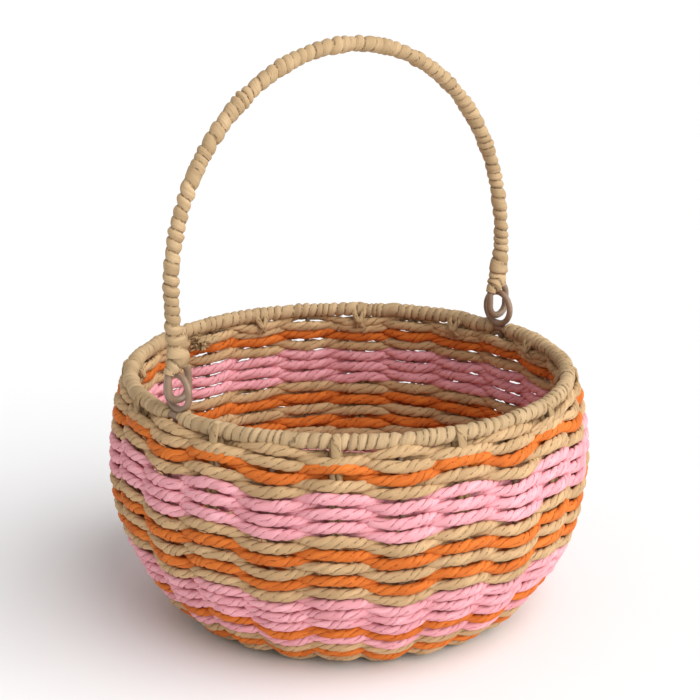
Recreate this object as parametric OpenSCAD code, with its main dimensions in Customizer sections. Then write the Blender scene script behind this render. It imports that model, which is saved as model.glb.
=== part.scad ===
// Easter basket: a bowl of twisted paper cord woven over a painted wire frame, with a swing handle.
// The origin is the centre of the footprint on the floor. Z is up, and X runs through both handle eyes.

/* [Frame] */
// Diameter of the rim hoop, to the middle of its wire
rim_d = 244; // [236:1:260]
// Height of the rim hoop above the floor
rim_z = 138; // [134:1:142]
// Wire of the rim hoop and the handle
wire_d = 4; // [3.6:0.1:4.2]
// Wire of the two rim eyes
eye_wire_d = 3.6; // [3.2:0.1:3.6]
// Wire of the ribs and of the hoop round the base
rib_d = 3; // [2.5:0.1:3]

/* [Wall] */
// Radius of the belly, to the middle of the stakes
belly_r = 130.2; // [129:0.1:131]
// Height of the belly above the floor
belly_z = 90; // [88:1:92]
// Radius of the wall's curve above the belly
upper_curve = 128.6; // [126:0.1:132]
// Radius of the wall's curve below the belly
lower_curve = 108.6; // [107:0.1:110]
// Radius of the bend from the wall to the base
corner_r = 18; // [16:1:20]

/* [Weave] */
// Distance from one row of cord to the next, along the wall
row_pitch = 3.6; // [3.4:0.05:3.65]
// Thickness of the cord, across the wall
cord_t = 3.4; // [3:0.1:3.4]
// How far a row swings out of the stakes' line and back in
swing = 3.5; // [3.5:0.1:3.6]
// Diameter of each of the two cords in a paper stake
stake_d = 3; // [2.6:0.1:3]

/* [Rim] */
// Outer diameter of the paper strip round the rim hoop
rim_wrap_d = 8; // [7:0.1:8.2]
// Width of the loop of each paper stake round the rim hoop
loop_w = 6.2; // [5:0.1:6.4]
// Thickness of that loop, under the strip
loop_t = 1; // [0.8:0.1:1.1]

/* [Handle] */
// Height of the handle's top above the rim hoop, to the middle of its wire
handle_h = 182; // [160:1:200]
// Half the distance between the handle's legs
handle_half = 121.6; // [121:0.1:122]
// Outer diameter of the paper strip round the handle
handle_wrap_d = 8.4; // [7.6:0.1:8.4]
// Radius of a rim eye, to the middle of its wire
eye_r = 9.6; // [9.5:0.1:9.7]
// Distance of each rim eye from the basket's middle
eye_x = 120; // [119.6:0.1:120.2]
// Height of the hinge line above the rim hoop
hinge_up = 12.8; // [12.7:0.1:12.9]

/* [Hidden] */
$fn = 64;

// The stripes from the rim down. The first has three rows of cord, the last has one, and the others have two.
STRIPES = [
  "natural", "orange", "natural", "pink", "pink", "pink", "natural", "orange", "natural", "orange",
  "natural", "pink", "pink", "pink", "orange", "pink", "natural", "orange", "natural"
];
paint = "#6f6459";
natural = "#c9a676";
orange = "#e0762c";
pink = "#e8a3b8";
rim_r = rim_d / 2;
slack = 0.05;
rib_count = 12;
rib_step = 360 / rib_count;

// The stakes' line in a plane through Z: along the base, round the corner, then two arcs that meet at the belly.
base_z = swing + cord_t / 2 + 0.2;
lower_x = belly_r - lower_curve;
upper_x = belly_r - upper_curve;
corner_z = base_z + corner_r;
corner_x = lower_x + sqrt(pow(lower_curve - corner_r, 2) - pow(belly_z - corner_z, 2));
corner_turn = atan2(corner_x - lower_x, belly_z - corner_z);
corner_top = corner_z - corner_r * cos(corner_turn);
function stake_r(z) =
  z > belly_z ? upper_x + sqrt(pow(upper_curve, 2) - pow(z - belly_z, 2)) :
  z > corner_top ? lower_x + sqrt(pow(lower_curve, 2) - pow(belly_z - z, 2)) :
  corner_x + sqrt(pow(corner_r, 2) - pow(corner_z - z, 2));

// Rows of cord are counted down from the underside of the rim's paper strip, along the wall.
weave_top = rim_z - rim_wrap_d / 2 - 0.1;
upper_turn = asin((weave_top - belly_z) / upper_curve);
upper_length = upper_curve * upper_turn * PI / 180;
function row_z(s) =
  s < upper_length ? belly_z + upper_curve * sin(upper_turn - s / upper_curve * 180 / PI) :
  belly_z - lower_curve * sin((s - upper_length) / lower_curve * 180 / PI);

// Where the wall leans, a row has to swing further to pass the stakes.
function wall_lean(z) = stake_r(z + 0.5) - stake_r(z - 0.5);
function row_swing(lean) = swing + 2 * (sqrt(1 + lean * lean) - 1) + 1.9 * abs(lean);

// A row's outline: it swings out past every second stake and in past the others.
wave_points = 96;
function wave(r, reach_out) = [
  for (i = [0 : wave_points - 1])
    let (
      turn = i * 360 / wave_points,
      push = max(-1, min(1, 1.25 * cos(rib_count * turn))),
      reach = r + reach_out * push
    )
    reach * [cos(turn), sin(turn)]
];

// A row lies over the metal ribs when it is even, and over the paper stakes when it is odd.
module row(i) {
  low = row_z((i + 1) * row_pitch);
  high = row_z(i * row_pitch) - 0.15;
  middle = (low + high) / 2;
  r = stake_r(middle);
  reach_out = row_swing(wall_lean(middle)) * (i % 2 == 0 ? 1 : -1);
  translate([0, 0, low]) linear_extrude(height = high - low) difference() {
    polygon(wave(r + cord_t / 2, reach_out));
    polygon(wave(r - cord_t / 2, reach_out));
  }
}

function stripe_rows(n) =
  n == 0 ? [0 : 2] :
  n == len(STRIPES) - 1 ? [2 * n + 1 : 2 * n + 1] :
  [2 * n + 1 : 2 * n + 2];

module stripe(n) {
  name = STRIPES[n];
  color(name == "orange" ? orange : name == "pink" ? pink : natural)
    for (i = stripe_rows(n)) row(i);
}

// A round bar bent in the plane through Z and X, from angle a0 to a1 about the centre at (x, z).
module bend(x, z, r, a0, a1, d) {
  translate([x, 0, z]) rotate([90, 0, 0]) rotate([0, 0, a0])
    rotate_extrude(angle = a1 - a0) translate([r, 0]) circle(d = d);
}

// A bend that is let a little way into the bars at both its ends, and is a hair thinner than they are.
let_in = 0.3;
hair = 0.04;
module joining_bend(x, z, r, a0, a1, d) {
  more = let_in / r * 180 / PI;
  bend(x, z, r, a0 - more, a1 + more, d - hair);
}

// A bar that follows the stakes' line, from the base at inner to the wall at top.
module along_wall(d, inner, top) {
  top_turn = asin((top - belly_z) / upper_curve);
  translate([inner, 0, base_z]) rotate([0, 90, 0]) cylinder(d = d, h = corner_x - inner);
  joining_bend(corner_x, corner_z, corner_r, -90, corner_turn - 90, d);
  bend(lower_x, belly_z, lower_curve, corner_turn - 90, 0, d);
  joining_bend(upper_x, belly_z, upper_curve, 0, top_turn, d);
}

hub_r = 8;
stake_inner = 52;

module metal_rib(n) {
  color(paint) rotate([0, 0, rib_step * n]) difference() {
    along_wall(rib_d, hub_r, rim_z);
    translate([rim_r, 0, rim_z]) rotate([90, 0, 0]) cylinder(d = wire_d + slack, h = 3 * wire_d, center = true);
    translate([hub_r, 0, base_z]) rotate([90, 0, 0]) cylinder(d = rib_d + slack, h = 3 * wire_d, center = true);
  }
}

// A stake's two cords are one cord, looped round the rim hoop under the strip.
loop_r = wire_d / 2 + 0.12;
stake_top = rim_z - loop_r - 0.3;
stake_side = stake_d / 2 + 0.1;
module paper_stake(n) {
  color(natural) rotate([0, 0, rib_step * (n + 0.5)]) {
    for (side = [-1, 1]) translate([0, side * stake_side, 0]) along_wall(stake_d, stake_inner, stake_top);
    translate([rim_r, 0, rim_z]) rotate([90, 0, 0]) difference() {
      cylinder(r = loop_r + loop_t, h = loop_w, center = true);
      cylinder(r = loop_r, h = 2 * loop_w, center = true);
    }
  }
}

module rim_hoop() {
  color(paint) translate([0, 0, rim_z]) rotate_extrude($fn = 192) translate([rim_r, 0]) circle(d = wire_d);
}

// The room that the ribs and the stakes' loops take up inside the strip.
module rim_ends() {
  r = stake_r(rim_z - rim_wrap_d / 4);
  for (n = [0 : rib_count - 1]) {
    rotate([0, 0, rib_step * n]) translate([r, 0, rim_z - rim_wrap_d]) cylinder(d = rib_d + 2.2, h = rim_wrap_d);
    rotate([0, 0, rib_step * (n + 0.5)]) {
      translate([rim_r, 0, rim_z]) rotate([90, 0, 0])
        cylinder(r = loop_r + loop_t + slack, h = loop_w + 2 * slack, center = true);
      translate([r - stake_d / 2 - 0.8, -stake_side - stake_d / 2 - slack, rim_z - rim_wrap_d])
        cube([stake_d + 1.6, 2 * stake_side + stake_d + 2 * slack, rim_wrap_d]);
    }
  }
}

// The strip stops either side of each eye, and the ribs and stakes come up into it.
wrap_gap = 3.3;
module rim_wrap() {
  color(natural) difference() {
    for (half = [0, 180]) rotate([0, 0, half + wrap_gap]) translate([0, 0, rim_z])
      rotate_extrude(angle = 180 - 2 * wrap_gap, $fn = 192) translate([rim_r, 0]) difference() {
        circle(d = rim_wrap_d);
        circle(d = wire_d + 2 * slack);
      }
    rim_ends();
  }
}

hinge_z = rim_z + hinge_up;
module rim_eye(side) {
  color(paint) difference() {
    translate([side * eye_x, 0, hinge_z]) rotate([0, 90, 0]) rotate_extrude()
      translate([eye_r, 0]) circle(d = eye_wire_d);
    translate([side * rim_r, 0, rim_z]) rotate([90, 0, 0]) cylinder(d = wire_d + slack, h = 30, center = true);
  }
}

// The base's rows lie under and over the spokes by turns, and the under ones carry the basket.
// The first two of them follow the corner up.
base_rows = 21;
foot_rows = 2;
function corner_rise(r) = r > corner_x ? corner_z - base_z - sqrt(pow(corner_r, 2) - pow(r - corner_x, 2)) : 0;
module base_weave() {
  color(natural) for (i = [-foot_rows : base_rows - 1]) {
    r = corner_x - 1 - i * row_pitch;
    z = i < 0 || i % 2 == 0 ? corner_rise(r) : base_z + stake_d / 2 + 0.1;
    translate([0, 0, z]) rotate_extrude($fn = 192) translate([r - cord_t / 2, 0]) square([cord_t, cord_t]);
  }
}

module base_hoop() {
  color(paint) translate([0, 0, base_z + rib_d + slack]) rotate_extrude($fn = 192)
    translate([corner_x + 0.6, 0]) circle(d = rib_d);
}

module base_hub() {
  color(paint) translate([0, 0, base_z]) rotate_extrude($fn = 96) translate([hub_r, 0]) circle(d = rib_d);
}

// The bow is a half circle on two straight legs. Below each leg the wire opens into an eye like a chain link,
// and its tail comes back up to lie beside the leg under the paper strip.
handle_eye_r = 6.6;
eye_flank = 5.9;
eye_hang = 4.3;
neck_r = 6;
tail_gap = wire_d + 0.3;
bow_z = rim_z + handle_h - handle_half;
eye_low_z = hinge_z - eye_hang + handle_eye_r;
eye_high_z = eye_low_z + eye_flank;
eye_mid = handle_half - tail_gap / 2;
tail_x = handle_half - tail_gap;
neck_turn = acos(1 - (handle_eye_r - tail_gap / 2) / (handle_eye_r + neck_r));
tail_z = eye_high_z + (handle_eye_r + neck_r) * sin(neck_turn);
tail_top = tail_z + 7;

// The two bends that bring the eye's sides together.
module necks() {
  joining_bend(handle_half + neck_r, tail_z, neck_r, 180, 180 + neck_turn, wire_d);
  joining_bend(tail_x - neck_r, tail_z, neck_r, -neck_turn, 0, wire_d);
}

module leg_and_eye() {
  translate([handle_half, 0, tail_z]) cylinder(d = wire_d, h = bow_z - tail_z);
  translate([tail_x, 0, tail_z]) cylinder(d = wire_d, h = tail_top - tail_z);
  bend(eye_mid, eye_low_z, handle_eye_r, -180, 0, wire_d);
  for (side = [-1, 1]) translate([eye_mid + side * handle_eye_r, 0, eye_low_z - let_in])
    cylinder(d = wire_d - hair, h = eye_flank + 2 * let_in);
  bend(eye_mid, eye_high_z, handle_eye_r, 0, neck_turn, wire_d);
  bend(eye_mid, eye_high_z, handle_eye_r, 180 - neck_turn, 180, wire_d);
  necks();
}

module handle_wire() {
  color(paint) union() {
    joining_bend(0, bow_z, handle_half, 0, 180, wire_d, $fn = 128);
    leg_and_eye();
    mirror([1, 0, 0]) leg_and_eye();
  }
}

// The strip binds the tail to the leg and closes over the tail's cut end.
over_tail = 1.2;
module bound_end() {
  translate([handle_half, 0, tail_z]) cylinder(d = handle_wrap_d, h = bow_z - tail_z);
  translate([tail_x, 0, tail_z]) cylinder(d = handle_wrap_d, h = tail_top + over_tail - tail_z);
}

module handle_wrap() {
  bore = wire_d + 2 * slack;
  color(natural) difference() {
    union() {
      joining_bend(0, bow_z, handle_half, 0, 180, handle_wrap_d, $fn = 128);
      bound_end();
      mirror([1, 0, 0]) bound_end();
    }
    bend(0, bow_z, handle_half, 0, 180, bore, $fn = 128);
    for (side = [-1, 1]) {
      translate([side * handle_half, 0, tail_z - 1]) cylinder(d = bore, h = bow_z - tail_z + 1);
      translate([side * tail_x, 0, tail_z - 1]) cylinder(d = bore, h = tail_top - tail_z + 1 + slack);
    }
  }
}

function two(n) = n < 10 ? str("0", n) : str(n);

rim_hoop();
rim_wrap();
rim_eye(-1);  // rim_eye_left
rim_eye(1);  // rim_eye_right
for (n = [0 : rib_count - 1]) {
  metal_rib(n);
  paper_stake(n);
}
for (n = [0 : len(STRIPES) - 1]) {
  stripe(n);
}
base_weave();
base_hoop();
base_hub();
handle_wire();
handle_wrap();
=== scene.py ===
import math

import bpy
import numpy as np
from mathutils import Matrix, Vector


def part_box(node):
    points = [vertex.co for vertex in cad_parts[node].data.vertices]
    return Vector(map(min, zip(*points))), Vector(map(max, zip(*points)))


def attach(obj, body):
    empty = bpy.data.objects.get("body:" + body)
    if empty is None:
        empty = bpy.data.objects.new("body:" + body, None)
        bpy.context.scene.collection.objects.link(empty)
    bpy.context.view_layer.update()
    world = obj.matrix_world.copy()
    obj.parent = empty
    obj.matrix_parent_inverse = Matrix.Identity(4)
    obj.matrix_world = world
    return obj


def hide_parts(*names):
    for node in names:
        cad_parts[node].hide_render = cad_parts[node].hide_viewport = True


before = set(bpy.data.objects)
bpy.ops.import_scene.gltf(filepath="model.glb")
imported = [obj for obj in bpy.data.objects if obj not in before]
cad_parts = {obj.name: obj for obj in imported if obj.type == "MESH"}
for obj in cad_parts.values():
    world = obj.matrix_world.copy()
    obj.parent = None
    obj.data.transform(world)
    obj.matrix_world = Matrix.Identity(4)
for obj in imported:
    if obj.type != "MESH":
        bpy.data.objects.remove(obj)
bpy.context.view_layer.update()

MM = 0.001
TAU = 2 * math.pi
RNG = np.random.default_rng(11)

# ---------------------------------------------------------------- sizes, from the frame

rim_low, rim_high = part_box("rim_hoop")
WIRE_R = (rim_high.z - rim_low.z) / 2
RIM_Z = (rim_high.z + rim_low.z) / 2
RIM_R = rim_high.x - WIRE_R
eye_low, eye_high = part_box("rim_eye_right")
EYE_X = (eye_low.x + eye_high.x) / 2
HINGE_Z = eye_high.z - (eye_high.y - eye_low.y) / 2
EYE_WIRE_R = (eye_high.x - eye_low.x) / 2
EYE_R = eye_high.y - EYE_WIRE_R
wrap_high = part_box("handle_wrap")[1]
HANDLE_WRAP_R = wrap_high.y
HANDLE_HALF = wrap_high.x - HANDLE_WRAP_R
BOW_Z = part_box("handle_wire")[1].z - WIRE_R - HANDLE_HALF
RIM_WRAP_R = (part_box("rim_wrap")[1].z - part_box("rim_wrap")[0].z) / 2
RIB_R = 1.5 * MM
HUB_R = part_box("base_hub")[1].x - RIB_R
BASE_HOOP_LOW, BASE_HOOP_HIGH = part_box("base_hoop")
BASE_HOOP_Z = (BASE_HOOP_LOW.z + BASE_HOOP_HIGH.z) / 2

# The stakes' line in a plane through Z: two arcs that meet at the belly, a corner bend, and the flat base.
BELLY_R, BELLY_Z = 130.2 * MM, 90 * MM
UPPER_CURVE, LOWER_CURVE, CORNER_R = 128.6 * MM, 108.6 * MM, 18 * MM
BASE_Z = 5.4 * MM
UPPER_X = BELLY_R - UPPER_CURVE
LOWER_X = BELLY_R - LOWER_CURVE
CORNER_Z = BASE_Z + CORNER_R
CORNER_X = LOWER_X + math.sqrt((LOWER_CURVE - CORNER_R) ** 2 - (BELLY_Z - CORNER_Z) ** 2)
CORNER_TURN = math.atan2(CORNER_X - LOWER_X, BELLY_Z - CORNER_Z)
UPPER_TURN = math.asin((RIM_Z - BELLY_Z) / UPPER_CURVE)
UPPER_LEN = UPPER_CURVE * UPPER_TURN
LOWER_LEN = LOWER_CURVE * (math.pi / 2 - CORNER_TURN)
CORNER_LEN = CORNER_R * CORNER_TURN
WALL_LEN = UPPER_LEN + LOWER_LEN + CORNER_LEN

# The weave: the rows' spacing down the stakes' line, how far each swings out and in, and how far it sags
# over the metal ribs. The top rows are pushed down by the rim, and two sag over the paper stakes instead.
RIBS = 12
RIB_STEP = TAU / RIBS
ROW_PITCH = 3.70 * MM
FIRST_ROW = 3.65 * MM
TOP_ROW_DROPS = {0: 3.2 * MM, 1: 2.2 * MM, 2: 1.0 * MM}
SWING = 3.6 * MM
SAG = 1.05 * MM
TOP_ROW_SAGS = {0: -0.9 * MM, 1: -0.9 * MM}
STRIPES = [n for n in sorted(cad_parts) if n.startswith("weave_")]


def smooth(t):
    """0 up to 0, 1 from 1 on, and an S curve between."""
    t = np.clip(t, 0, 1)
    return t * t * (3 - 2 * t)


def stake_line(s):
    """Radius, height and outward normal (radial, up) of the stakes' line, at length s from the rim hoop."""
    s = np.asarray(s, float)
    a = UPPER_TURN - s / UPPER_CURVE
    b = -(s - UPPER_LEN) / LOWER_CURVE
    c = -math.pi / 2 + CORNER_TURN - (s - UPPER_LEN - LOWER_LEN) / CORNER_R
    upper, lower = s < UPPER_LEN, s < UPPER_LEN + LOWER_LEN
    turn = np.where(upper, a, np.where(lower, b, np.maximum(c, -math.pi / 2)))
    radius = np.where(upper, UPPER_CURVE, np.where(lower, LOWER_CURVE, CORNER_R))
    mid_x = np.where(upper, UPPER_X, np.where(lower, LOWER_X, CORNER_X))
    mid_z = np.where(lower, BELLY_Z, CORNER_Z)
    r = mid_x + radius * np.cos(turn) - np.maximum(s - WALL_LEN, 0)
    z = mid_z + radius * np.sin(turn)
    return r, z, np.cos(turn), np.sin(turn)


def ripple(angle, waves, size, rng):
    """A smooth closed wobble along a ring: a sum of sines of random strength and phase."""
    out = np.zeros_like(angle)
    for k in waves:
        out += rng.normal() * np.sin(k * angle + rng.uniform(0, TAU))
    return size * out / math.sqrt(len(waves))


def wobble(s, length, size, rng):
    """A smooth random wobble along a length: random values every so often, joined by S curves."""
    knots = rng.normal(size=int(s.max() / length) + 3)
    i = np.floor(s / length).astype(int)
    f = smooth(s / length - i)
    return size * (knots[i] * (1 - f) + knots[i + 1] * f)


# ---------------------------------------------------------------- meshes

def grid_mesh(name, points, uv, closed_u, closed_v):
    """A mesh of one or more grids of points (rows, columns, xyz), with a UV pair for each grid corner."""
    verts, faces, uvs, start = [], [], [], 0
    for p, t in zip(points, uv):
        m, n = p.shape[:2]
        rows = m if closed_u else m - 1
        cols = n if closed_v else n - 1
        i, j = np.meshgrid(np.arange(rows), np.arange(cols), indexing="ij")
        i2, j2 = (i + 1) % m, (j + 1) % n
        quad = np.stack([i * n + j, i2 * n + j, i2 * n + j2, i * n + j2], -1).reshape(-1, 4) + start
        corner = np.stack([t[i, j], t[i + 1, j], t[i + 1, j + 1], t[i, j + 1]], 2).reshape(-1, 2)
        verts.append(p.reshape(-1, 3))
        faces.append(quad)
        uvs.append(corner)
        start += m * n
    verts, faces, uvs = np.concatenate(verts), np.concatenate(faces), np.concatenate(uvs)
    mesh = bpy.data.meshes.new(name)
    mesh.vertices.add(len(verts))
    mesh.vertices.foreach_set("co", verts.astype(np.float32).ravel())
    mesh.loops.add(faces.size)
    mesh.loops.foreach_set("vertex_index", faces.astype(np.int32).ravel())
    mesh.polygons.add(len(faces))
    mesh.polygons.foreach_set("loop_start", np.arange(0, faces.size, 4, dtype=np.int32))
    layer = mesh.uv_layers.new(name="UVMap")
    layer.uv.foreach_set("vector", uvs.astype(np.float32).ravel())
    mesh.update(calc_edges=True)
    mesh.polygons.foreach_set("use_smooth", np.ones(len(faces), bool))
    mesh.validate()
    return mesh


def add_piece(name, mesh, material, body, slot, *nodes):
    """An object for the mesh that rides on a body and stands for CAD nodes. The slot argument is not used."""
    obj = bpy.data.objects.new(name, mesh)
    bpy.context.scene.collection.objects.link(obj)
    mesh.materials.append(material)
    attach(obj, body)
    if nodes:
        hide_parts(*nodes)
    return obj


def tube(path, out, across, high, around, turns, closed, starts=1, profile=None):
    """A tube about a path. A ring's point at angle f is path + out * across * cos f + up * high * sin f,
    where up is at right angles to the path and to out. profile(phase, f) scales each point, where phase
    counts the strip's turns along the path less the starts that f has gone through. f runs up from
    underneath."""
    if closed:
        ahead, behind = np.roll(path, -1, 0), np.roll(path, 1, 0)
    else:
        ahead, behind = np.vstack([path[1:], path[-1:]]), np.vstack([path[:1], path[:-1]])
    tangent = ahead - behind
    tangent /= np.linalg.norm(tangent, axis=1)[:, None]
    out = out - (out * tangent).sum(1)[:, None] * tangent
    out /= np.linalg.norm(out, axis=1)[:, None]
    up = np.cross(out, tangent)
    f = np.linspace(0, TAU, around, endpoint=False) - math.pi / 2
    v = np.arange(around + 1) / around
    phase = turns[:, None] - starts * (f[None, :] + math.pi / 2) / TAU
    scale = np.ones_like(phase) if profile is None else profile(phase, f[None, :])
    points = (path[:, None, :]
              + out[:, None, :] * (np.asarray(across)[:, None] * np.cos(f) * scale)[..., None]
              + up[:, None, :] * (np.asarray(high)[:, None] * np.sin(f) * scale)[..., None])
    u = np.append(turns, turns[-1] + (turns[-1] - turns[-2])) if closed else turns
    uv = np.stack(np.broadcast_arrays(u[:, None], v[None, :] * starts), -1)
    return points, uv


def capped(points, uv):
    """The same open tube with both its ends drawn in to a point."""
    first, last = points[:1].mean(1, keepdims=True), points[-1:].mean(1, keepdims=True)
    ends = [np.repeat(first, points.shape[1], 1), np.repeat(last, points.shape[1], 1)]
    return np.concatenate([ends[0], points, ends[1]]), np.concatenate([uv[:1], uv, uv[-1:]])


# ---------------------------------------------------------------- materials

def node(tree, kind, where, inputs=None, **props):
    """A shader node with its properties set and its inputs linked to sockets or set to values."""
    n = tree.nodes.new(kind)
    n.location = where
    for k, v in props.items():
        setattr(n, k, v)
    for k, v in (inputs or {}).items():
        if isinstance(v, bpy.types.NodeSocket):
            tree.links.new(v, n.inputs[k])
        else:
            n.inputs[k].default_value = v
    return n


def math_node(tree, op, a, b=0.0):
    """The output of a Math node on two numbers or sockets."""
    return node(tree, "ShaderNodeMath", (0, 0), {0: a, 1: b}, operation=op).outputs[0]


def strip_group():
    """Twisted paper: the crease beside each turn of the strip, a mask for the painted shade in the fold and
    for its relief, the fibres along it, patches, and a tone that changes from one turn to the next."""
    g = bpy.data.node_groups.new("twisted_paper", "ShaderNodeTree")
    for name in ("Fibre scale", "Crease width"):
        g.interface.new_socket(name, in_out="INPUT", socket_type="NodeSocketFloat")
    for name in ("Crease", "Fibre", "Patch", "Turn", "Height"):
        g.interface.new_socket(name, in_out="OUTPUT", socket_type="NodeSocketFloat")
    inp = node(g, "NodeGroupInput", (-1200, 0))
    uv = node(g, "ShaderNodeUVMap", (-1200, 200), uv_map="UVMap")
    sep = node(g, "ShaderNodeSeparateXYZ", (-1000, 200), {0: uv.outputs[0]})
    obj = node(g, "ShaderNodeTexCoord", (-1200, -300))
    drift = node(g, "ShaderNodeTexNoise", (-1000, -300),
                 {"Vector": obj.outputs["Object"], "Scale": 160.0, "Detail": 2.0})
    phase = math_node(g, "SUBTRACT", sep.outputs[0], sep.outputs[1])
    waver = math_node(g, "MULTIPLY", math_node(g, "SUBTRACT", drift.outputs[0], 0.5), 0.5)
    bent = math_node(g, "ADD", phase, waver)
    frac = math_node(g, "FRACT", bent)
    edge = math_node(g, "MINIMUM", frac, math_node(g, "SUBTRACT", 1.0, frac))
    crease = node(g, "ShaderNodeMapRange", (-400, 200),
                  {"Value": edge, "From Min": 0.0, "From Max": inp.outputs["Crease width"],
                   "To Min": 1.0, "To Max": 0.0}, interpolation_type="SMOOTHSTEP")
    gate = node(g, "ShaderNodeTexNoise", (-1000, -550),
                {"Vector": obj.outputs["Object"], "Scale": 420.0, "Detail": 3.0})
    open_part = node(g, "ShaderNodeMapRange", (-600, -550),
                     {"Value": gate.outputs[0], "From Min": 0.41, "From Max": 0.58})
    crease_out = math_node(g, "MULTIPLY", crease.outputs[0], open_part.outputs[0])
    turn = node(g, "ShaderNodeTexWhiteNoise", (-400, 400), {"W": math_node(g, "FLOOR", bent)},
                noise_dimensions="1D")
    lay = node(g, "ShaderNodeCombineXYZ", (-600, 0),
               {0: math_node(g, "MULTIPLY", bent, inp.outputs["Fibre scale"]),
                1: math_node(g, "MULTIPLY", sep.outputs[1], 1.6)})
    fibre = node(g, "ShaderNodeTexNoise", (-400, 0),
                 {"Vector": lay.outputs[0], "Scale": 1.0, "Detail": 4.0, "Roughness": 0.6})
    patch = node(g, "ShaderNodeTexNoise", (-400, -300),
                 {"Vector": obj.outputs["Object"], "Scale": 75.0, "Detail": 3.0})
    height = math_node(g, "SUBTRACT", math_node(g, "MULTIPLY", fibre.outputs[0], 0.6),
                       math_node(g, "MULTIPLY", crease_out, 0.9))
    node(g, "NodeGroupOutput", (200, 0), {"Crease": crease_out, "Fibre": fibre.outputs[0],
                                          "Patch": patch.outputs[0], "Turn": turn.outputs["Value"],
                                          "Height": height})
    return g


def new_material(name):
    """A material with an empty node tree."""
    mat = bpy.data.materials.new(name)
    mat.use_nodes = True
    mat.node_tree.nodes.clear()
    return mat, mat.node_tree


def paper(name, base, crease_shade, light, fibre_scale, crease_width, bump):
    """Matt paper in one dye: streaked along the fibres, uneven in patches, and darker in the creases, where a
    painted shade stands in for the shade in the folds.
    """
    mat, t = new_material(name)
    strip = t.nodes.new("ShaderNodeGroup")
    strip.node_tree = STRIP
    strip.inputs["Fibre scale"].default_value = fibre_scale
    strip.inputs["Crease width"].default_value = crease_width
    streak = node(t, "ShaderNodeMapRange", (-700, 200),
                  {"Value": strip.outputs["Fibre"], "From Min": 0.32, "From Max": 0.68})
    tone = node(t, "ShaderNodeMix", (-500, 200), data_type="RGBA")
    t.links.new(streak.outputs[0], tone.inputs[0])
    tone.inputs[6].default_value = (*base, 1)
    tone.inputs[7].default_value = (*light, 1)
    blotch = node(t, "ShaderNodeMapRange", (-700, -100),
                  {"Value": math_node(t, "ADD", strip.outputs["Patch"],
                                      math_node(t, "MULTIPLY", strip.outputs["Turn"], 0.45)),
                   "From Min": 0.45, "From Max": 1.05, "To Max": 0.75})
    worn = node(t, "ShaderNodeMix", (-300, 100), data_type="RGBA")
    t.links.new(blotch.outputs[0], worn.inputs[0])
    t.links.new(tone.outputs[2], worn.inputs[6])
    worn.inputs[7].default_value = (*(0.78 * c for c in base), 1)
    # Painted shade: along the creases the colour is mixed towards a dark colour that stands in for the shade
    # falling in the paper's folds.
    crease_shaded_tone = node(t, "ShaderNodeMix", (-100, 100), data_type="RGBA")
    t.links.new(math_node(t, "MULTIPLY", strip.outputs["Crease"], 0.54), crease_shaded_tone.inputs[0])
    t.links.new(worn.outputs[2], crease_shaded_tone.inputs[6])
    crease_shaded_tone.inputs[7].default_value = (*crease_shade, 1)
    relief = node(t, "ShaderNodeBump", (-100, -300),
                  {"Strength": 1.0, "Distance": bump, "Height": strip.outputs["Height"]})
    bsdf = node(t, "ShaderNodeBsdfPrincipled", (150, 0),
                {"Base Color": crease_shaded_tone.outputs[2], "Roughness": 0.78, "Specular IOR Level": 0.28,
                 "Normal": relief.outputs[0]})
    node(t, "ShaderNodeOutputMaterial", (450, 0), {0: bsdf.outputs[0]})
    return mat


def paint():
    """Satin taupe paint on wire: mottled in tone and in sheen, with a fine orange peel."""
    mat, t = new_material("taupe_paint")
    co = node(t, "ShaderNodeTexCoord", (-900, 0))
    mottle = node(t, "ShaderNodeTexNoise", (-700, 100),
                  {"Vector": co.outputs["Object"], "Scale": 230.0, "Detail": 4.0})
    tone = node(t, "ShaderNodeMix", (-300, 100), data_type="RGBA")
    t.links.new(mottle.outputs[0], tone.inputs[0])
    tone.inputs[6].default_value = (0.20, 0.125, 0.078, 1)
    tone.inputs[7].default_value = (0.36, 0.235, 0.155, 1)
    orange_peel = node(t, "ShaderNodeTexNoise", (-700, -200),
                       {"Vector": co.outputs["Object"], "Scale": 900.0, "Detail": 2.0})
    rough = node(t, "ShaderNodeMapRange", (-300, -100),
                 {"Value": mottle.outputs[0], "From Min": 0.3, "From Max": 0.7,
                  "To Min": 0.26, "To Max": 0.40})
    relief = node(t, "ShaderNodeBump", (-100, -300),
                  {"Strength": 0.5, "Distance": 0.00008, "Height": orange_peel.outputs[0]})
    bsdf = node(t, "ShaderNodeBsdfPrincipled", (150, 0),
                {"Base Color": tone.outputs[2], "Roughness": rough.outputs[0], "Normal": relief.outputs[0]})
    node(t, "ShaderNodeOutputMaterial", (450, 0), {0: bsdf.outputs[0]})
    return mat


STRIP = strip_group()
CORD_LOOK = dict(fibre_scale=9.0, crease_width=0.10, bump=0.0005)
# The dark crease colour of each paper is painted shade for its folds.
CORD = {
    "natural": paper("natural_cord", base=(0.53, 0.33, 0.16), crease_shade=(0.20, 0.11, 0.045),
                     light=(0.74, 0.50, 0.27), **CORD_LOOK),
    "orange": paper("orange_cord", base=(0.65, 0.135, 0.015), crease_shade=(0.28, 0.040, 0.004),
                    light=(0.84, 0.25, 0.04), **CORD_LOOK),
    "pink": paper("pink_cord", base=(0.86, 0.34, 0.38), crease_shade=(0.50, 0.11, 0.13),
                  light=(0.97, 0.53, 0.58), **CORD_LOOK),
}
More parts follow.
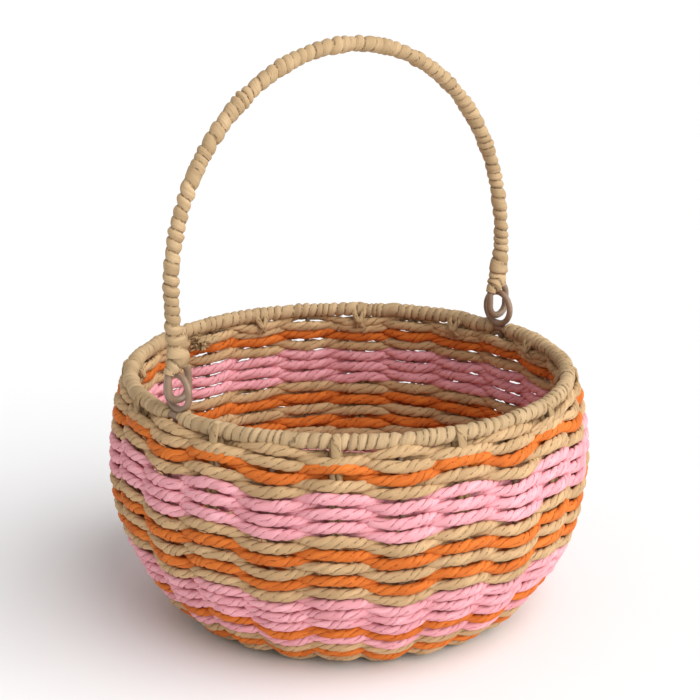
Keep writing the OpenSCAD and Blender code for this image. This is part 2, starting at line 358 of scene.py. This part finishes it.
# Here too the dark crease colour is painted shade for the folds of the strip and the stakes.
WRAP = paper("natural_wrap", base=(0.48, 0.32, 0.165), crease_shade=(0.13, 0.075, 0.032),
             light=(0.65, 0.465, 0.27), fibre_scale=7.0, crease_width=0.12, bump=0.0007)
STAKE = paper("natural_stake", base=(0.42, 0.27, 0.13), crease_shade=(0.10, 0.055, 0.025),
              light=(0.56, 0.39, 0.21), fibre_scale=6.0, crease_width=0.16, bump=0.0005)
PAINT = paint()
SLOT = {"natural": "natural_paper", "orange": "orange_cord", "pink": "pink_cord"}

# ---------------------------------------------------------------- weaving

LOBE_STEP = 6.2 * MM
CORD_STARTS = 3
CORD_AROUND = 16


def lobes(depth, lap=0.0):
    """A wound or twisted section: 1 - depth + 1.3 * depth * sqrt(sin(pi * x)) * (1 + lap * (0.5 - x)),
    where x runs from 0 to 1 between two creases. depth is one number, or one for each ring."""
    depth = np.reshape(depth, (-1, 1))

    def profile(phase, f):
        x = phase - np.floor(phase)
        swell = np.sqrt(np.sin(math.pi * x))
        return 1 - depth + depth * 1.3 * swell * (1 + lap * (0.5 - x))
    return profile


def woven_row(s, side, waves, rng, swing=SWING, sag=SAG, step=0.75 * MM, at_stake=(2.15 * MM, 3.05 * MM),
              between=(2.4 * MM, 2.40 * MM)):
    """One row of cord: a ring at length s down the stakes' line that swings out and in as it passes stakes.
    side is 1 for a row that lies over the metal ribs, and -1 for one over the paper stakes. at_stake and
    between are half the section's depth and height over a stake and midway between stakes."""
    r0 = float(stake_line(s)[0])
    count = int(TAU * r0 / step)
    a = np.arange(count) / count * TAU
    beat = side * np.cos(waves * a)
    out_in = np.tanh(0.7 * beat) / math.tanh(0.7)
    size = 1.03 + ripple(a, range(3, 12), 0.05, rng) + ripple(a, range(30, 70), 0.04, rng)
    drop = (sag * np.cos(waves * a) + ripple(a, range(2, 9), 0.5 * MM, rng)
            + ripple(a, range(9, 40), 0.38 * MM, rng))
    r, z, nr, nz = stake_line(s + drop)
    push = swing * out_in * (1 + ripple(a, range(5, 20), 0.07, rng))
    radius = r + push * nr
    path = np.stack([radius * np.cos(a), radius * np.sin(a), z + push * nz], 1)
    out = np.stack([nr * np.cos(a), nr * np.sin(a), nz], 1)
    over = np.abs(beat) ** 1.2
    across = (between[0] + (at_stake[0] - between[0]) * over) * size
    high = (between[1] + (at_stake[1] - between[1]) * over) * size
    turn_count = round(TAU * r0 / LOBE_STEP)
    turns = a / TAU * turn_count + ripple(a, range(6, 60), 0.30, rng)
    depth = 0.25 * (1 + ripple(a, range(20, 90), 0.45, rng))
    points, uv = tube(path, out, across, high, CORD_AROUND, turns, True, CORD_STARTS, lobes(depth))
    uv[-1, :, 0] = uv[0, :, 0] + turn_count
    return points, uv


def row_place(i):
    """How far down the stakes' line row i lies, if the rim doesn't push it down."""
    return FIRST_ROW + i * ROW_PITCH


def row_side(i):
    """1 for a row over the metal ribs and -1 for a row over the paper stakes. They take turns."""
    return 1 if i % 2 == 0 else -1


def stripe(index, name):
    """Two rows of one colour. The first stripe has a row tucked under the rim as well, a little thinner."""
    first = 0 if index == 0 else 2 * index + 1
    rows = [woven_row(row_place(i) + TOP_ROW_DROPS.get(i, 0), row_side(i), RIBS, RNG,
                      sag=TOP_ROW_SAGS.get(i, SAG), between=(2.4 * MM, (1.95 if i == 0 else 2.40) * MM))
            for i in range(first, 2 * index + 3)]
    colour = name.rsplit("_", 1)[1]
    mesh = grid_mesh("cords_" + name, [p for p, _ in rows], [t for _, t in rows], True, True)
    add_piece("cords_" + name, mesh, CORD[colour], "basket", SLOT[colour], name)


for number, stripe_name in enumerate(STRIPES):
    stripe(number, stripe_name)


HUB_GAP = 3 * MM
FEW_WAVES_R = 50 * MM
LESS_SWING_R = 30 * MM


def base():
    """The base's rows go on inwards from the wall's last row, over and under the spokes, to the hub."""
    rows = []
    i = 2 * len(STRIPES) + 1
    r = float(stake_line(row_place(i))[0])
    while r >= HUB_R + HUB_GAP:
        waves = RIBS if r > FEW_WAVES_R else RIBS // 2
        swing = SWING * (0.86 if r > LESS_SWING_R else 0.72)
        rows.append(woven_row(row_place(i), row_side(i), waves, RNG, swing, step=1.3 * MM,
                              at_stake=(1.75 * MM, 2.7 * MM), between=(1.8 * MM, 1.95 * MM)))
        i += 1
        r = float(stake_line(row_place(i))[0])
    mesh = grid_mesh("base_rows", [p for p, _ in rows], [t for _, t in rows], True, True)
    add_piece("base_rows", mesh, CORD["natural"], "basket", "natural_paper", "base_weave")


base()

# ---------------------------------------------------------------- stakes and ribs

def stake_path(angle, start, end, shift):
    """Lengths, points and outward directions, 1 mm apart, along the stakes' line at an angle about Z, moved
    sideways by shift."""
    s = np.arange(start, end, 1.0 * MM)
    r, z, nr, nz = stake_line(s)
    ca, sa = math.cos(angle), math.sin(angle)
    path = np.stack([r * ca - shift * sa, r * sa + shift * ca, z], 1)
    return s, path, np.stack([nr * ca, nr * sa, nz], 1)


def metal_rib(k):
    """A painted wire from the hoop, down the wall and in along the base to the hub."""
    s, path, out = stake_path(k * RIB_STEP, WIRE_R, WALL_LEN + CORNER_X - HUB_R, 0)
    width = np.full(len(s), RIB_R)
    points, uv = tube(path, out, width, width, 14, s / (4 * MM), False)
    mesh = grid_mesh(f"rib_{k + 1:02d}", *[[x] for x in capped(points, uv)], False, True)
    add_piece(f"rib_{k + 1:02d}", mesh, PAINT, "basket", "taupe_paint", f"metal_rib_{k + 1:02d}")


STAKE_INNER = 52 * MM
STAKE_CORD_R = 1.65 * MM
STAKE_SPREAD = 1.75 * MM


def strap(angle, points, high):
    """A short strap, 2 mm thick and twice high wide, that goes through a few points. Each is given in mm as
    (outwards from the hoop, sideways, up from the hoop)."""
    knots = np.array(points, float) * MM
    t = np.linspace(0, len(knots) - 1, 24)
    i = np.minimum(t.astype(int), len(knots) - 2)
    f = smooth(t - i)[:, None]
    line = knots[i] * (1 - f) + knots[i + 1] * f
    ca, sa = math.cos(angle), math.sin(angle)
    r = RIM_R + line[:, 0]
    path = np.stack([r * ca - line[:, 1] * sa, r * sa + line[:, 1] * ca, RIM_Z + line[:, 2]], 1)
    out = np.tile([ca, sa, 0.35], (len(path), 1))
    turns = np.linspace(0, 1.5, len(path))
    return capped(*tube(path, out, np.full(len(path), 1.0 * MM), np.full(len(path), high), 14, turns, False,
                        2, lobes(0.12)))


def cut_end(angle, radius, z, way, stub, fibres):
    """A cord's cut end, as grids: a stub that runs round the wall and fans out into strips of paper."""
    t = np.linspace(0, 1, 12)
    turn = angle - way * stub / radius * (1 - t)
    path = np.stack([radius * np.cos(turn), radius * np.sin(turn), z + 0.5 * MM * t], 1)
    out = np.stack([np.cos(turn), np.sin(turn), 0 * t], 1)
    width = 1.9 * MM * (1 + 0.45 * t)
    turns = t * stub / LOBE_STEP
    grids = [capped(*tube(path, out, width, width * 1.15, 14, turns, False, CORD_STARTS, lobes(0.18)))]
    ahead = np.array([-math.sin(angle), math.cos(angle), 0]) * way
    for _ in range(fibres):
        root = path[-1] - ahead * 1.5 * MM + RNG.normal(0, 1.4 * MM, 3)
        aim = ahead * 0.6 + RNG.normal(0, 0.55, 3)
        curl = RNG.normal(0, 0.6, 3)
        reach = RNG.uniform(1.6, 3.6) * MM
        line = root + reach * (t[:, None] * aim + (t[:, None] ** 2) * curl)
        flat = np.full(len(t), RNG.uniform(0.2, 0.4) * MM)
        face = np.tile(RNG.normal(0, 1, 3), (len(t), 1))
        grids.append(capped(*tube(line, face, flat, flat * 2.2, 6, t * 0.6, False)))
    return grids


def loose_end(start, end, s0, s1, out0, out1):
    """A weaver's end along the outside of the wall, as a grid, from s0 to s1 down the stakes' line."""
    t = np.linspace(0, 1, 60)
    r, z, nr, nz = stake_line(s0 + (s1 - s0) * t)
    push = out0 + (out1 - out0) * np.sin(math.pi * t) ** 0.7
    a = start + (end - start) * t
    path = np.stack([(r + push * nr) * np.cos(a), (r + push * nr) * np.sin(a), z + push * nz], 1)
    out = np.stack([nr * np.cos(a), nr * np.sin(a), nz], 1)
    width = 1.75 * MM * (1 - 0.35 * np.abs(2 * t - 1) ** 3)
    turns = t * (end - start) * RIM_R / LOBE_STEP
    return capped(*tube(path, out, width, width * 1.15, 14, turns, False, CORD_STARTS, lobes(0.18)))


def ends():
    """The ends of the first weavers: two cut short inside the rim, and one tucked in along the outside."""
    deg = math.pi / 180
    cut = cut_end(99 * deg, RIM_R - 6.5 * MM, RIM_Z - 8.0 * MM, 1, 16 * MM, 110)
    cut += cut_end(262 * deg, RIM_R - 4 * MM, RIM_Z - 12 * MM, -1, 12 * MM, 50)
    mesh = grid_mesh("cut_ends", [g[0] for g in cut], [g[1] for g in cut], False, True)
    add_piece("cut_ends", mesh, STAKE, "basket", "natural_paper")
    points, uv = loose_end(277 * deg, 305 * deg, 9 * MM, 3.6 * MM, 1.5 * MM, 5.2 * MM)
    add_piece("tucked_end", grid_mesh("tucked_end", [points], [uv], False, True), CORD["natural"], "basket",
              "natural_paper")


def stake_straps(angle):
    """Where a stake's loop comes out of the strip: one strap down the outside, and a crossed pair inside."""
    lift = RNG.uniform(-0.6, 0.6)
    slip = RNG.uniform(-0.8, 0.8)
    down = strap(angle, [(2.0, slip, 3.2), (4.5, slip, 1.3 + lift), (5.4, slip, -2.2),
                         (5.6, slip * 0.5, -6.0), (3.4, 0, -11)], 2.6 * MM)
    pair = [strap(angle, [(-2.6, side * 3.4, 1.6), (-4.9, side * 2.8, -1.6),
                          (-6.4, side * 0.7 + slip * 0.4, -6.0), (-3.4, -side * 2.0, -10.5)], 1.6 * MM)
            for side in (-1, 1)]
    return [down] + pair


def paper_stake(k):
    """Two cords of paper side by side midway between two ribs, and the straps of their loop over the rim."""
    angle = (k + 0.5) * RIB_STEP
    grids = []
    for side in (-1, 1):
        s, path, out = stake_path(angle, WIRE_R, WALL_LEN + CORNER_X - STAKE_INNER, side * STAKE_SPREAD)
        width = np.full(len(s), STAKE_CORD_R)
        turns = s / (9 * MM) + wobble(s, 7 * MM, 0.15, RNG)
        grids.append(capped(*tube(path, out, width, width * 1.06, 14, turns, False, 2, lobes(0.12))))
    grids += stake_straps(angle)
    mesh = grid_mesh(f"stake_{k + 1:02d}", [g[0] for g in grids], [g[1] for g in grids], False, True)
    add_piece(f"stake_{k + 1:02d}", mesh, STAKE, "basket", "natural_paper", f"paper_stake_{k + 1:02d}")


for k in range(RIBS):
    metal_rib(k)
    paper_stake(k)
ends()

# ---------------------------------------------------------------- rim

def ring_path(radius, z, a):
    """Points and outward directions of a level ring about Z at the angles a."""
    path = np.stack([radius * np.cos(a), radius * np.sin(a), np.full_like(a, z)], 1)
    return path, np.stack([np.cos(a), np.sin(a), np.zeros_like(a)], 1)


def wire_ring(name, radius, z, wire, steps, cad_node):
    """A closed ring of round wire about Z."""
    a = np.linspace(0, TAU, steps, endpoint=False)
    path, out = ring_path(radius, z, a)
    width = np.full(steps, wire)
    points, uv = tube(path, out, width, width, 20, a / TAU * 90, True)
    mesh = grid_mesh(name, [points], [uv], True, True)
    add_piece(name, mesh, PAINT, "basket", "taupe_paint", cad_node)


wire_ring("hoop", RIM_R, RIM_Z, WIRE_R, 360, "rim_hoop")
wire_ring("base_ring", BASE_HOOP_HIGH.x - RIB_R, BASE_HOOP_Z, RIB_R, 240, "base_hoop")
wire_ring("hub_ring", HUB_R, BASE_Z, RIB_R, 64, "base_hub")


WELD_GAP = 3.7 * MM
RIM_TURN = 5.1 * MM


def rim_wrap():
    """The strip round the hoop, in two lengths that thin out up to the eyes' welds."""
    grids = []
    gap = WELD_GAP / RIM_R
    for half in (0, 1):
        a = np.arange(half * math.pi + gap, (half + 1) * math.pi - gap, 0.5 * MM / RIM_R)
        path, out = ring_path(RIM_R, RIM_Z, a)
        s = (a - a[0]) * RIM_R
        path[:, 2] += wobble(s, 14 * MM, 0.25 * MM, RNG)
        width = np.full(len(a), RIM_WRAP_R) * (1.03 + wobble(s, 5 * MM, 0.045, RNG))
        width *= 0.62 + 0.38 * smooth(np.minimum(s, s[-1] - s) / (5 * MM))
        turns = s / RIM_TURN + wobble(s, 11 * MM, 0.33, RNG)
        depth = 0.21 * (1 + wobble(s, 5 * MM, 0.45, RNG))
        grids.append(capped(*tube(path, out, width, width, 28, turns, False, 1, lobes(depth, 0.5))))
    mesh = grid_mesh("rim_strip", [g[0] for g in grids], [g[1] for g in grids], False, True)
    add_piece("rim_strip", mesh, WRAP, "basket", "natural_paper", "rim_wrap")


rim_wrap()


def rim_eye(side, name, cad_node):
    """A ring of wire welded on the hoop, facing along X, with a small fillet of weld where they meet."""
    a = np.linspace(0, TAU, 96, endpoint=False)
    out = np.stack([np.zeros_like(a), np.cos(a), np.sin(a)], 1)
    path = out * EYE_R + np.array([side * EYE_X, 0, HINGE_Z])
    foot = np.exp(-((a - 1.5 * math.pi) / 0.30) ** 2)
    width = EYE_WIRE_R * (1 + 0.15 * foot)
    points, uv = tube(path, out, width, width, 20, a / TAU * 10, True)
    add_piece(name, grid_mesh(name, [points], [uv], True, True), PAINT, "basket", "taupe_paint", cad_node)


rim_eye(-1, "eye_left", "rim_eye_left")
rim_eye(1, "eye_right", "rim_eye_right")

# ---------------------------------------------------------------- handle

LOOP_R = 6.6 * MM
LOOP_FLANK = 5.9 * MM
LOOP_HANG = 4.3 * MM
NECK_R = 6 * MM
TAIL_GAP = 4.3 * MM
LOOP_LOW_Z = HINGE_Z - LOOP_HANG + LOOP_R
LOOP_Z = LOOP_LOW_Z + LOOP_FLANK
LOOP_X = HANDLE_HALF - TAIL_GAP / 2
NECK_TURN = math.acos(1 - (LOOP_R - TAIL_GAP / 2) / (LOOP_R + NECK_R))
TAIL_Z = LOOP_Z + (LOOP_R + NECK_R) * math.sin(NECK_TURN)
TAIL_TOP = TAIL_Z + 7 * MM
LEAN = math.tan(math.radians(1.9))
LEAN_FROM_Z = RIM_Z + 25 * MM
BOW_TURN = 5.7 * MM
WIRE_STEP = 0.6 * MM
FACE_ON = np.array([0.0, -1.0, 0.0])


def lean(p):
    """The bow leans a little to one side in its own plane, as it was bent by hand."""
    p = p.copy()
    up = p[:, 2] - LEAN_FROM_Z
    p[:, 0] -= LEAN * smooth(up / (60 * MM)) * up
    return p


def arc(x, z, r, a0, a1, step=WIRE_STEP):
    """Points of an arc in the plane through X and Z, by angles in degrees, without its last point."""
    n = max(int(abs(a1 - a0) / 360 * TAU * r / step), 8)
    a = np.radians(np.linspace(a0, a1, n, endpoint=False))
    return np.stack([x + r * np.cos(a), np.zeros(n), z + r * np.sin(a)], 1)


def straight(p, q):
    """Points of a straight line, without its last point."""
    n = max(int(math.dist(p, q) / WIRE_STEP), 3)
    t = np.linspace(0, 1, n, endpoint=False)[:, None]
    return np.array(p)[None, :] * (1 - t) + np.array(q)[None, :] * t


def half_handle():
    """The right half of the wire: from its tail round the eye, like a chain link, and up the leg."""
    turn = math.degrees(NECK_TURN)
    tail_x = HANDLE_HALF - TAIL_GAP
    parts = [
        straight((tail_x, 0, TAIL_TOP), (tail_x, 0, TAIL_Z)),
        arc(tail_x - NECK_R, TAIL_Z, NECK_R, 0, -turn),
        arc(LOOP_X, LOOP_Z, LOOP_R, 180 - turn, 180),
        straight((LOOP_X - LOOP_R, 0, LOOP_Z), (LOOP_X - LOOP_R, 0, LOOP_LOW_Z)),
        arc(LOOP_X, LOOP_LOW_Z, LOOP_R, 180, 360),
        straight((LOOP_X + LOOP_R, 0, LOOP_LOW_Z), (LOOP_X + LOOP_R, 0, LOOP_Z)),
        arc(LOOP_X, LOOP_Z, LOOP_R, 0, turn),
        arc(HANDLE_HALF + NECK_R, TAIL_Z, NECK_R, 180 + turn, 180),
        straight((HANDLE_HALF, 0, TAIL_Z), (HANDLE_HALF, 0, BOW_Z)),
    ]
    return np.concatenate(parts)


def handle_wire():
    """The whole wire: both halves with the bow between them, and drawn in to a point at its two ends."""
    right = half_handle()
    left = right[::-1] * np.array([-1, 1, 1])
    path = lean(np.concatenate([right, arc(0, BOW_Z, HANDLE_HALF, 0, 180), left]))
    out = np.tile(FACE_ON, (len(path), 1))
    width = np.full(len(path), WIRE_R)
    turns = np.arange(len(path)) * 0.1
    points, uv = capped(*tube(path, out, width, width, 20, turns, False))
    mesh = grid_mesh("bow", [points], [uv], False, True)
    add_piece("bow", mesh, PAINT, "handle", "taupe_paint", "handle_wire")


handle_wire()


def wrapped_leg(side, low, high):
    """The strip's middle line up the right end, between two heights above TAIL_Z, and how far it is over
    both wires, from 0 to 1. It begins round one wire, the leg or the tail. A line that reaches the bow goes
    on over both, and then over the leg alone."""
    z = np.arange(TAIL_Z + low, TAIL_Z + high, 0.45 * MM)
    up = np.maximum(z - LOOP_Z, 0)
    in_loop = np.sqrt(np.maximum(LOOP_R ** 2 - up ** 2, 0)) - TAIL_GAP / 2
    in_neck = NECK_R - np.sqrt(NECK_R ** 2 - np.clip(z - TAIL_Z, -NECK_R, 0) ** 2)
    spread = np.where(up < LOOP_R * math.sin(NECK_TURN), in_loop, in_neck)
    one = HANDLE_HALF + spread if side == "leg" else HANDLE_HALF - TAIL_GAP - spread
    if high < BOW_Z - TAIL_Z:
        return np.stack([one, np.zeros_like(z), z], 1), np.zeros_like(z)
    rise = smooth((z - TAIL_Z + 2.5 * MM) / (4 * MM))
    fall = smooth((z - TAIL_TOP + 1 * MM) / (13 * MM))
    x = one + (LOOP_X - one) * rise + (HANDLE_HALF - LOOP_X) * fall
    return np.stack([x, np.zeros_like(z), z], 1), rise * (1 - fall)


def handle_wrap():
    """The strip round the bow. Near each end it takes in the wire's tail too, and its last turns go round the
    two wires one by one."""
    right, right_both = wrapped_leg("tail", -7.4 * MM, BOW_Z - TAIL_Z)
    left, left_both = wrapped_leg("leg", -7.4 * MM, BOW_Z - TAIL_Z)
    bow = arc(0, BOW_Z, HANDLE_HALF, 0, 180, 0.45 * MM)
    path = lean(np.concatenate([right, bow, (left * np.array([-1, 1, 1]))[::-1]]))
    both = np.concatenate([right_both, np.zeros(len(bow)), left_both[::-1]])
    s = np.concatenate([[0], np.cumsum(np.linalg.norm(np.diff(path, axis=0), axis=1))])
    end = np.minimum(s, s[-1] - s)
    size = HANDLE_WRAP_R * (0.98 + wobble(s, 5 * MM, 0.06, RNG)) * (0.70 + 0.30 * smooth(end / (6 * MM)))
    high = size * (1 + 0.44 * both)
    out = np.tile(FACE_ON, (len(path), 1))
    turns = s / BOW_TURN + wobble(s, 13 * MM, 0.33, RNG)
    depth = 0.24 * (1 + wobble(s, 6 * MM, 0.45, RNG))
    grids = [capped(*tube(path, out, size, high, 28, turns, False, 1, lobes(depth, 0.5)))]
    for sign, last_turn in ((1, "leg"), (-1, "tail")):
        line, _ = wrapped_leg(last_turn, -3.6 * MM, 3 * MM)
        line = lean(line * np.array([sign, 1, 1]))
        t = np.arange(len(line)) / len(line)
        grids.append(capped(*tube(line, np.tile(FACE_ON, (len(line), 1)), 2.9 * MM + 0.5 * MM * t,
                                  2.8 * MM + 0.2 * MM * t, 24, 1.6 * t, False, 1, lobes(0.12, 0.3))))
    mesh = grid_mesh("bow_strip", [g[0] for g in grids], [g[1] for g in grids], False, True)
    add_piece("bow_strip", mesh, WRAP, "handle", "natural_paper", "handle_wrap")


handle_wrap()

# ---------------------------------------------------------------- stage, light and camera

def stage_material():
    """A matt, nearly white floor, with a faint unevenness."""
    mat = bpy.data.materials.new("pale_floor")
    mat.use_nodes = True
    t = mat.node_tree
    co = node(t, "ShaderNodeTexCoord", (-800, 0))
    grain = node(t, "ShaderNodeTexNoise", (-600, 0), {"Vector": co.outputs["Object"], "Scale": 3.0})
    tone = node(t, "ShaderNodeMapRange", (-400, 0),
                {"Value": grain.outputs[0], "To Min": 0.90, "To Max": 0.93})
    t.links.new(tone.outputs[0], t.nodes["Principled BSDF"].inputs["Base Color"])
    t.nodes["Principled BSDF"].inputs["Roughness"].default_value = 0.9
    return mat


FLOOR_HALF = 4.0


def floor():
    """A plain square of floor under the basket."""
    mesh = bpy.data.meshes.new("floor")
    corners = [(x * FLOOR_HALF, y * FLOOR_HALF, 0) for x, y in ((-1, -1), (1, -1), (1, 1), (-1, 1))]
    mesh.from_pydata(corners, [], [(0, 1, 2, 3)])
    mesh.materials.append(stage_material())
    obj = bpy.data.objects.new("floor", mesh)
    bpy.context.scene.collection.objects.link(obj)


floor()
world = bpy.data.worlds.new("studio")
bpy.context.scene.world = world
world.use_nodes = True
world.node_tree.nodes["Background"].inputs[0].default_value = (1, 1, 1, 1)
seen = node(world.node_tree, "ShaderNodeLightPath", (-600, 0))
strength = node(world.node_tree, "ShaderNodeMapRange", (-300, 0),
                {"Value": seen.outputs["Is Camera Ray"], "To Min": 0.5, "To Max": 1.0})
world.node_tree.links.new(strength.outputs[0], world.node_tree.nodes["Background"].inputs[1])
bpy.context.scene.view_settings.view_transform = "Standard"


def soft_light(name, direction, softness, power):
    """A broad light from far away, so that it falls off nowhere. Its softness is the angle that it covers."""
    data = bpy.data.lights.new(name, "SUN")
    data.angle = softness
    data.energy = power
    lamp = bpy.data.objects.new(name, data)
    lamp.rotation_euler = direction.to_track_quat("Z", "Y").to_euler()
    bpy.context.scene.collection.objects.link(lamp)


VIEW_TURN = math.radians(42)
toward = Vector((-math.sin(VIEW_TURN), -math.cos(VIEW_TURN), 0))
right_hand = Vector((math.cos(VIEW_TURN), -math.sin(VIEW_TURN), 0))
middle = Vector((0, 0, RIM_Z))
soft_light("key", toward * 0.5 + right_hand * 0.75 + Vector((0, 0, 0.7)), math.radians(75), 3.25)

RISE = math.radians(17.64)
DISTANCE = 9.13 * RIM_R
data = bpy.data.cameras.new("camera")
data.sensor_width = 36
data.lens = 102.04
data.shift_x = 1.05 / 700
data.shift_y = 18.6 / 700
camera = bpy.data.objects.new("camera", data)
camera.location = middle + DISTANCE * (toward * math.cos(RISE) + Vector((0, 0, math.sin(RISE))))
camera.rotation_euler = (middle - camera.location).to_track_quat("-Z", "Y").to_euler()
bpy.context.scene.collection.objects.link(camera)
bpy.context.scene.camera = camera
